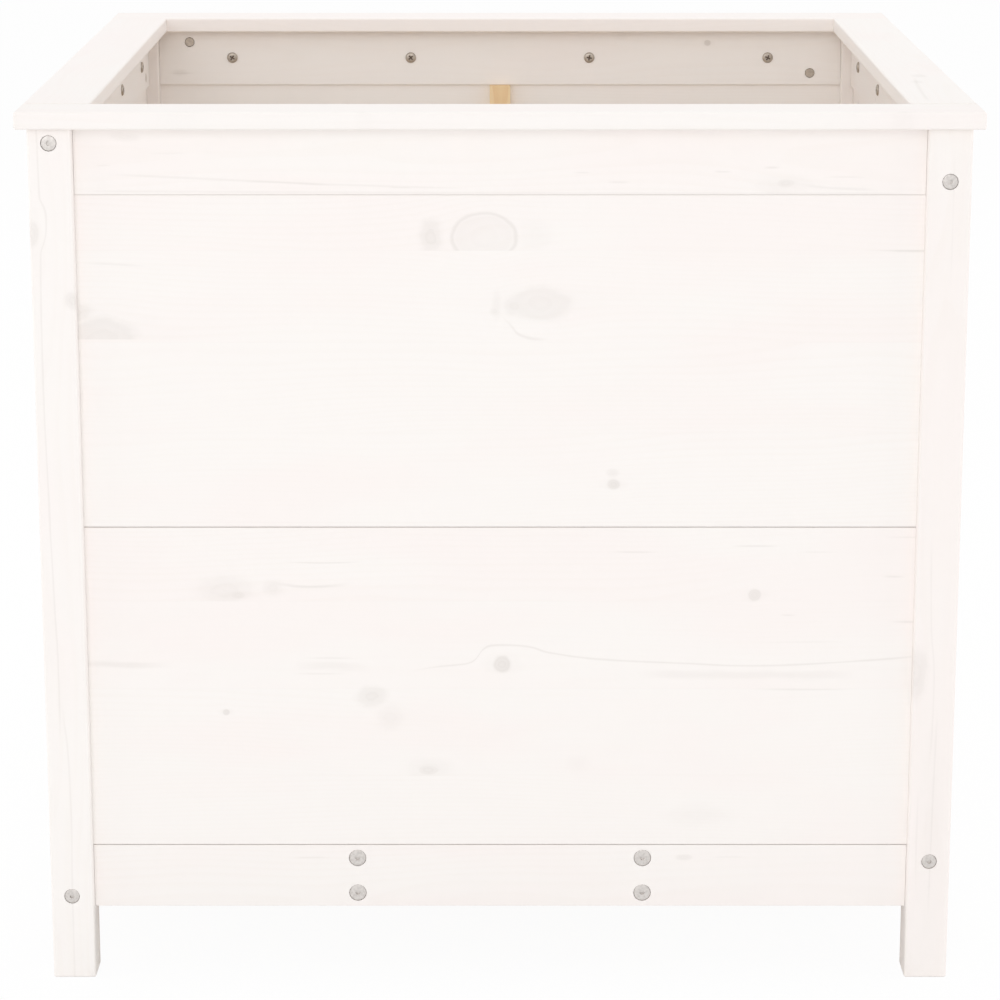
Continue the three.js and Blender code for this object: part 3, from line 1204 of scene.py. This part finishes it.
def revolved(profile: list[tuple[float, float]], sides: int) -> bmesh.types.BMesh:
    """A solid of revolution about +Z.

    Args:
        profile: Radius and height pairs, lowest first, from the axis to the axis.
        sides: The facets round it.

    Returns:
        The solid.
    """
    solid = bmesh.new()
    rings: list[list[bmesh.types.BMVert]] = []
    turns = [2 * math.pi * i / sides for i in range(sides)]
    for radius, height in profile:
        if radius == 0:
            rings.append([solid.verts.new((0, 0, height))])
        else:
            ring = [(radius * math.cos(turn), radius * math.sin(turn), height) for turn in turns]
            rings.append([solid.verts.new(corner) for corner in ring])
    for lower, upper in zip(rings, rings[1:]):
        for i in range(sides):
            near, far = i, (i + 1) % sides
            quad = [
                lower[near % len(lower)],
                lower[far % len(lower)],
                upper[far % len(upper)],
                upper[near % len(upper)],
            ]
            solid.faces.new(list(dict.fromkeys(quad)))
    bmesh.ops.recalc_face_normals(solid, faces=solid.faces)
    return solid


def prism(
    outline: list[tuple[float, float]], low: float, high: float, taper: float = 1.0
) -> bmesh.types.BMesh:
    """A prism over an outline.

    Args:
        outline: The outline's corners, anticlockwise.
        low: The height of its bottom.
        high: The height of its top.
        taper: How large the bottom is, as a share of the outline.

    Returns:
        The solid.
    """
    solid = bmesh.new()
    bottom = [solid.verts.new((x * taper, y * taper, low)) for x, y in outline]
    top = [solid.verts.new((x, y, high)) for x, y in outline]
    solid.faces.new(bottom[::-1])
    solid.faces.new(top)
    for i in range(len(outline)):
        j = (i + 1) % len(outline)
        solid.faces.new((bottom[i], bottom[j], top[j], top[i]))
    bmesh.ops.recalc_face_normals(solid, faces=solid.faces)
    return solid


def as_mesh(name: str, solid: bmesh.types.BMesh) -> bpy.types.Mesh:
    """Turns a bmesh into a smoothly shaded mesh.

    Args:
        name: The mesh's name.
        solid: The bmesh, which is freed.

    Returns:
        The mesh.
    """
    mesh = bpy.data.meshes.new(name)
    solid.to_mesh(mesh)
    solid.free()
    shade(mesh)
    return mesh


def as_object(name: str, solid: bmesh.types.BMesh) -> bpy.types.Object:
    """Turns a bmesh into an object in the scene.

    Args:
        name: The object's name.
        solid: The bmesh, which is freed.

    Returns:
        The object.
    """
    made = bpy.data.objects.new(name, as_mesh(name, solid))
    bpy.context.scene.collection.objects.link(made)
    return made


def shade(mesh: bpy.types.Mesh, sharp_angle: float = 32.0) -> None:
    """Smooth shading, with edges kept sharp from an angle in degrees."""
    mesh.polygons.foreach_set("use_smooth", [True] * len(mesh.polygons))
    mesh.set_sharp_from_angle(angle=math.radians(sharp_angle))


def cut_away(body: bpy.types.Object, cutter: bpy.types.Object) -> bpy.types.Mesh:
    """Takes one body out of another. Both objects go.

    Args:
        body: The body that is cut.
        cutter: The body that is taken out of it.

    Returns:
        The mesh that is left.
    """
    step = body.modifiers.new("recess", "BOOLEAN")
    step.operation = "DIFFERENCE"
    step.solver = "EXACT"
    step.object = cutter
    graph = bpy.context.evaluated_depsgraph_get()
    left = bpy.data.meshes.new_from_object(body.evaluated_get(graph))
    for used in (body, cutter):
        bpy.data.objects.remove(used)
    shade(left)
    return left


def line_recess(mesh: bpy.types.Mesh, radius: float, low: float, high: float) -> None:
    """Gives the faces of a recess round the Z axis the second material, a darker zinc that paints the shade
    in the recess.

    Args:
        mesh: The mesh.
        radius: How far the recess reaches from the axis.
        low: The least height of its faces' middles.
        high: The greatest height of them.
    """
    for face in mesh.polygons:
        if math.hypot(face.center.x, face.center.y) < radius and low < face.center.z < high:
            face.material_index = 1


def eased_rim(radius: float, edge: float, ease: float, steps: int = 6) -> list[tuple[float, float]]:
    """The profile of a round head's eased rim.

    Args:
        radius: The head's radius.
        edge: How wide the easing is.
        ease: How high it is.
        steps: The facets over it.

    Returns:
        Radius and height pairs, from the flat face at height 0 to the full radius.
    """
    turns = [math.pi / 2 * i / steps for i in range(steps + 1)]
    return [(radius - edge + edge * math.sin(turn), ease - ease * math.cos(turn)) for turn in turns]


def polygon(sides: int, radius: float) -> list[tuple[float, float]]:
    """A regular polygon's corners."""
    turns = [2 * math.pi * i / sides for i in range(sides)]
    return [(radius * math.cos(turn), radius * math.sin(turn)) for turn in turns]


def cross(arm: float, half_width: float) -> list[tuple[float, float]]:
    """Draws a cross.

    Args:
        arm: How far an arm reaches from the middle.
        half_width: Half of an arm's width.

    Returns:
        Its corners, anticlockwise.
    """
    corners = []
    for c, s in ((1, 0), (0, 1), (-1, 0), (0, -1)):
        for x, y in ((arm, -half_width), (arm, half_width), (half_width, half_width)):
            corners.append((x * c - y * s, x * s + y * c))
    return corners


def merged(name: str, parts: list[tuple[bpy.types.Mesh, Matrix]]) -> bpy.types.Object:
    """Joins meshes in one object.

    Args:
        name: The object's name.
        parts: Each mesh and the move to its place.

    Returns:
        The object.
    """
    whole = bmesh.new()
    for mesh, move in parts:
        moved = mesh.copy()
        moved.transform(move)
        whole.from_mesh(moved)
        bpy.data.meshes.remove(moved)
    return as_object(name, whole)


def facing(direction: Triple, place: Vector) -> Matrix:
    """The move that turns +Z to a direction and the origin to a place."""
    turn = Vector((0, 0, 1)).rotation_difference(Vector(direction)).to_matrix().to_4x4()
    return Matrix.Translation(place) @ turn


def finish_piece(piece: bpy.types.Object, finishes: Finishes) -> None:
    """Gives a new steel piece its materials, and lets it ride with the planter.

    Args:
        piece: The piece.
        finishes: Its materials, by the material numbers of its faces.
    """
    for finish in finishes:
        piece.data.materials.append(finish)
    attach(piece, BODY)
    logging.info("built %s", piece.name)


@dataclass(frozen=True)
class ConnectorBolt:
    """A bolt with a flat head and a hexagon socket, and its barrel nut run on."""

    head_radius: float
    head_height: float = 2.5 * MM
    head_edge: float = 0.6 * MM
    head_ease: float = 0.45 * MM
    under_edge: float = 0.3 * MM
    shank_radius: float = 3.0 * MM
    neck: float = 0.8 * MM
    tip_chamfer: float = 1.2 * MM
    socket_across: float = 4.0 * MM
    socket_depth: float = 1.8 * MM
    nut_radius: float = 5.0 * MM
    nut_length: float = 14.0 * MM
    nut_edge: float = 0.5 * MM
    tip_past_nut: float = 8.0 * MM
    sides: int = 48

    def bolt_mesh(self, length: float) -> bpy.types.Mesh:
        """Makes the bolt, with its face at height 0 and its shank towards +Z.

        Args:
            length: The length over all.

        Returns:
            The mesh.
        """
        under = self.head_height
        profile = [
            (0.0, 0.0),
            *eased_rim(self.head_radius, self.head_edge, self.head_ease),
            (self.head_radius, under - self.under_edge),
            (self.head_radius - self.under_edge, under),
            (self.shank_radius + self.neck, under),
            (self.shank_radius, under + self.neck),
            (self.shank_radius, length - self.tip_chamfer),
            (self.shank_radius - self.tip_chamfer, length),
            (0.0, length),
        ]
        corner = self.socket_across / 2 / math.cos(math.pi / 6)
        return cut_away(
            as_object("bolt", revolved(profile, self.sides)),
            as_object("socket", prism(polygon(6, corner), -MM, self.socket_depth)),
        )

    def nut_mesh(self) -> bpy.types.Mesh:
        """Makes the barrel nut, with its near end at height 0 and its body towards +Z.

        Returns:
            The mesh.
        """
        radius, edge, length = self.nut_radius, self.nut_edge, self.nut_length
        profile = [
            (0.0, 0.0),
            (radius - edge, 0.0),
            (radius, edge),
            (radius, length - edge),
            (radius - edge, length),
            (0.0, length),
        ]
        return as_mesh("nut", revolved(profile, self.sides))


@dataclass(frozen=True)
class Connection:
    """One connector bolt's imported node, the way it is driven and the way its nut goes in."""

    node: str
    drive: Triple
    nut_in: Triple


@dataclass(frozen=True)
class Connectors:
    """All the connector bolts of one size, with their barrel nuts. The nuts' finish is second."""

    bolt: ConnectorBolt
    connections: tuple[Connection, ...]
    finishes: Finishes

    def build(self) -> None:
        """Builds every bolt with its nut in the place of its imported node."""
        head, tip = reach(self.connections[0].node, self.connections[0].drive)
        bolt, nut = self.bolt.bolt_mesh(tip - head), self.bolt.nut_mesh()
        nut.polygons.foreach_set("material_index", [1] * len(nut.polygons))
        for connection in self.connections:
            face, mouth = self.places(connection)
            name = connection.node.replace("bolt", "connector")
            parts = [(bolt, facing(connection.drive, face)), (nut, facing(connection.nut_in, mouth))]
            piece = merged(name, parts)
            finish_piece(piece, self.finishes)
            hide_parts(connection.node)

    def places(self, connection: Connection) -> tuple[Vector, Vector]:
        """Where a bolt and its nut go.

        Args:
            connection: The bolt.

        Returns:
            The middle of the head's face and the middle of the nut's near end.
        """
        head, tip = reach(connection.node, connection.drive)
        mouth, far_side = reach(connection.node, connection.nut_in)
        low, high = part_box(connection.node)
        height = Vector((0, 0, (low.z + high.z) / 2))
        drive, nut_in = Vector(connection.drive), Vector(connection.nut_in)
        face = height + drive * head + nut_in * (far_side - self.bolt.head_radius)
        nut_end = height + drive * (tip - self.bolt.tip_past_nut) + nut_in * mouth
        return face, nut_end


def wall_connections() -> tuple[Connection, ...]:
    """Lists the bolts through the posts into the rails.

    Returns:
        Their connections.
    """
    found = []
    for quarter in Quarter:
        for level in ("top", "bottom"):
            for end, way in (("left", 1), ("right", -1)):
                node = f"{quarter.side}_bolt_{level}_{end}"
                found.append(Connection(node, quarter.direction(way, 0, 0), quarter.direction(0, -1, 0)))
    return tuple(found)


def bearer_connections() -> tuple[Connection, ...]:
    """Lists the bolts through the bottom rails into the floor bearers.

    Returns:
        Their connections.
    """
    found = []
    for place, way in (("front", 1.0), ("back", -1.0)):
        for side, nut_way in (("left", -1.0), ("right", 1.0)):
            for level in ("lower", "upper"):
                node = f"bearer_bolt_{place}_{side}_{level}"
                found.append(Connection(node, (0.0, way, 0.0), (nut_way, 0.0, 0.0)))
    return tuple(found)


@dataclass(frozen=True)
class CrossHeadScrew:
    """A low raised head with a cross recess, of which only the head is out of the timber."""

    head_radius: float
    head_height: float = 2.1 * MM
    sunk: float = 1.0 * MM
    recess_depth: float = 1.95 * MM
    recess_taper: float = 0.72
    arm: float = 0.55
    arm_half_width: float = 0.15
    rounded: float = 0.45
    dome_share: float = 0.9
    sides: int = 40

    def mesh(self) -> bpy.types.Mesh:
        """Makes the head, with its underside at height 0 and its face towards +Z.

        Returns:
            The mesh.
        """
        radius = self.head_radius
        dome = eased_rim(radius, self.rounded * radius, self.dome_share * self.head_height, 8)
        profile = [
            (0.0, -self.sunk),
            (radius - self.sunk, -self.sunk),
            *((r, self.head_height - h) for r, h in reversed(dome)),
            (0.0, self.head_height),
        ]
        floor = self.head_height - self.recess_depth
        outline = cross(self.arm * radius, self.arm_half_width * radius)
        recess = prism(outline, floor, self.head_height + MM, self.recess_taper)
        mesh = cut_away(as_object("screw", revolved(profile, self.sides)), as_object("recess", recess))
        # The cross recess takes the darker zinc, as painted shade in the hollow.
        line_recess(mesh, (self.arm + 0.01) * radius, 0.9 * floor, 0.98 * self.head_height)
        return mesh

    def row(self, name: str, places: list[Vector], facing_way: Triple, finishes: Finishes) -> None:
        """Builds screws that face one way, as one piece.

        Args:
            name: The piece's name.
            places: Where each stands on the timber.
            facing_way: The way in which the heads face.
            finishes: The materials of the heads and of their recesses; the recesses' one is darker, as
                painted shade.
        """
        mesh = self.mesh()
        dice = random.Random(name)
        parts = []
        for place in places:
            driven = Matrix.Rotation(dice.uniform(0, math.pi / 2), 4, "Z")
            parts.append((mesh, facing(facing_way, place) @ driven))
        finish_piece(merged(name, parts), finishes)


@dataclass(frozen=True)
class Screws:
    """The screws of the top rails, the battens and the floor. Their recesses' finish is second, a darker
    zinc as painted shade.
    """

    finishes: Finishes
    rail_screw: CrossHeadScrew = CrossHeadScrew(5.7 * MM)
    batten_screw: CrossHeadScrew = CrossHeadScrew(4.0 * MM)
    rail_places: tuple[float, ...] = (-286.8 * MM, -95.6 * MM, 95.6 * MM, 286.8 * MM)
    batten_margin: float = 45 * MM
    slat_margin: float = 30 * MM

    def build(self) -> None:
        """Builds every row of screws."""
        for quarter in Quarter:
            self.rail_row(quarter)
            self.batten_row(quarter)
        self.slat_rows()

    def rail_row(self, quarter: Quarter) -> None:
        """Builds the screws in the inner face of a top rail, half way up it.

        Args:
            quarter: The rail's side.
        """
        low, high = quarter.box(f"{quarter.side}_top_rail")
        places = [quarter.turn @ Vector((x, high.y, (low.z + high.z) / 2)) for x in self.rail_places]
        inwards = quarter.direction(0, 1, 0)
        self.rail_screw.row(f"{quarter.side}_rail_screws", places, inwards, self.finishes)

    def batten_row(self, quarter: Quarter) -> None:
        """Builds two screws through a batten into each panel.

        Args:
            quarter: The batten's side.
        """
        face = quarter.box(f"{quarter.side}_batten")[1].y
        places = []
        for panel in ("lower_panel", "upper_panel"):
            low, high = quarter.box(f"{quarter.side}_{panel}")
            for height in (low.z + self.batten_margin, high.z - self.batten_margin):
                places.append(quarter.turn @ Vector((0, face, height)))
        inwards = quarter.direction(0, 1, 0)
        self.batten_screw.row(f"{quarter.side}_batten_screws", places, inwards, self.finishes)

    def slat_rows(self) -> None:
        """Builds two screws through each slat into each bearer."""
        for slat in FloorOfSlats().slats:
            low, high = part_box(slat)
            places = []
            for bearer in FloorOfSlats().bearers:
                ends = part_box(bearer)
                middle = (ends[0].x + ends[1].x) / 2
                for y in (low.y + self.slat_margin, high.y - self.slat_margin):
                    places.append(Vector((middle, y, high.z)))
            self.batten_screw.row(f"{slat}_screws", places, (0.0, 0.0, 1.0), self.finishes)


# ---- Studio -------------------------------------------------------------------------


@dataclass(frozen=True)
class Softbox:
    """A square lamp that faces a point."""

    name: str
    place: Triple
    watts: float
    side: float = 2.4
    target: Triple = (0.0, 0.0, 0.4)

    def build(self) -> None:
        """Adds the lamp."""
        lamp = bpy.data.lights.new(self.name, "AREA")
        lamp.shape = "SQUARE"
        lamp.size = self.side
        lamp.energy = self.watts
        holder = bpy.data.objects.new(self.name, lamp)
        bpy.context.scene.collection.objects.link(holder)
        holder.location = self.place
        aim = Vector(self.target) - Vector(self.place)
        holder.rotation_euler = aim.to_track_quat("-Z", "Y").to_euler()


@dataclass(frozen=True)
class Studio:
    """A white floor, white surroundings, soft lamps and the camera."""

    softboxes: tuple[Softbox, ...] = (
        Softbox("key", (-1.4, -8.2, 3.0), 138.0, 4.6),
        Softbox("left", (-4.3, -0.6, 1.6), 25.0),
        Softbox("right", (4.3, -0.6, 1.6), 31.0),
        Softbox("back_left", (-3.0, 3.6, 0.9), 14.0, 1.6),
        Softbox("back_right", (3.0, 3.6, 0.9), 14.0, 1.6),
        Softbox("high", (0.0, 1.0, 4.0), 17.0),
    )
    floor_side: float = 60.0
    floor_white: float = 0.96
    floor_bounce: float = 0.88
    surroundings: float = 0.755
    shadow_faded: float = 0.955
    camera_distance: float = 2.907
    camera_height: float = 1.165
    look_down: float = 13.88
    lens: float = 123.9
    sensor: float = 36.0

    def build(self) -> None:
        """Builds the studio."""
        bpy.context.scene.view_settings.view_transform = "Standard"
        self.lay_floor()
        self.light()
        self.set_camera()

    @staticmethod
    def seen_directly(shader: Shader) -> Value:
        """Tells what is seen from what only lights the planter.

        Args:
            shader: The tree that takes the nodes.

        Returns:
            1 for the camera's own rays and those that steel mirrors, else 0.
        """
        camera = shader.node("ShaderNodeLightPath", output="Is Camera Ray")
        glossy = shader.node("ShaderNodeLightPath", output="Is Glossy Ray")
        transmitted = shader.node("ShaderNodeLightPath", output="Is Transmission Ray")
        return camera.most(glossy).most(transmitted)

    def lay_floor(self) -> None:
        """A white floor that shows the planter's shadow only faintly."""
        sheet = bmesh.new()
        bmesh.ops.create_grid(sheet, x_segments=4, y_segments=4, size=self.floor_side / 2)
        floor = as_object("studio_floor", sheet)
        material, shader = new_material("studio_white")
        seen, lit = (self.floor_white,) * 3, (self.floor_bounce,) * 3
        colour = shader.mix(self.seen_directly(shader), lit, seen)
        matt = shader.node("ShaderNodeBsdfDiffuse", inputs={"Color": colour})
        glow = shader.node("ShaderNodeEmission", inputs={"Color": (1.0, 1.0, 1.0, 1.0), "Strength": 1.0})
        share = self.seen_directly(shader) * self.shadow_faded
        shader.surface(shader.node("ShaderNodeMixShader", inputs={0: share, 1: matt, 2: glow}))
        floor.data.materials.append(material)
        floor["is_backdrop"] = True

    def light(self) -> None:
        """Sets white surroundings and the softboxes."""
        world = bpy.data.worlds.new("studio")
        bpy.context.scene.world = world
        world.use_nodes = True
        shader = Shader(world.node_tree)
        white = (1.0, 1.0, 1.0, 1.0)
        lit = shader.node("ShaderNodeBackground", inputs={"Color": white, "Strength": self.surroundings})
        shown = shader.node("ShaderNodeBackground", inputs={"Color": white, "Strength": 1.0})
        mixed = shader.node("ShaderNodeMixShader", inputs={0: self.seen_directly(shader), 1: lit, 2: shown})
        shader.surface(mixed, "ShaderNodeOutputWorld")
        for softbox in self.softboxes:
            softbox.build()

    def set_camera(self) -> None:
        """Looks down at the planter's front from straight ahead."""
        lens = bpy.data.cameras.new("camera")
        lens.lens = self.lens
        lens.sensor_width = self.sensor
        camera = bpy.data.objects.new("camera", lens)
        bpy.context.scene.collection.objects.link(camera)
        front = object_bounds()[0].y
        camera.location = (0.0, front - self.camera_distance, self.camera_height)
        camera.rotation_euler = (math.radians(90 - self.look_down), 0.0, 0.0)
        bpy.context.scene.camera = camera


# ---- The whole ----------------------------------------------------------------------


def main() -> None:
    """Dresses the timber, builds the steel and sets up the studio."""
    logging.basicConfig(level=logging.INFO, format="%(message)s")
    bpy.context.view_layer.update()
    for quarter in Quarter:
        Wall(quarter).dress()
    Posts().dress()
    Rim().dress()
    FloorOfSlats().dress()
    bright = ZincSteel().material("bright_zinc")
    dull = ZincSteel(srgb(190.0, 181.0, 171.0), srgb(173.0, 164.0, 154.0)).material("dull_zinc")
    # A darker zinc for the screws' cross recesses: painted shade in the hollows.
    dark = ZincSteel(srgb(116.0, 104.0, 94.0), srgb(100.0, 88.0, 78.0)).material("dark_zinc")
    Connectors(ConnectorBolt(WALL_HEAD_RADIUS), wall_connections(), (bright, dull)).build()
    Connectors(ConnectorBolt(BEARER_HEAD_RADIUS), bearer_connections(), (bright, dull)).build()
    Screws((dull, dark)).build()
    Studio().build()


if __name__ == "__main__":
    main()
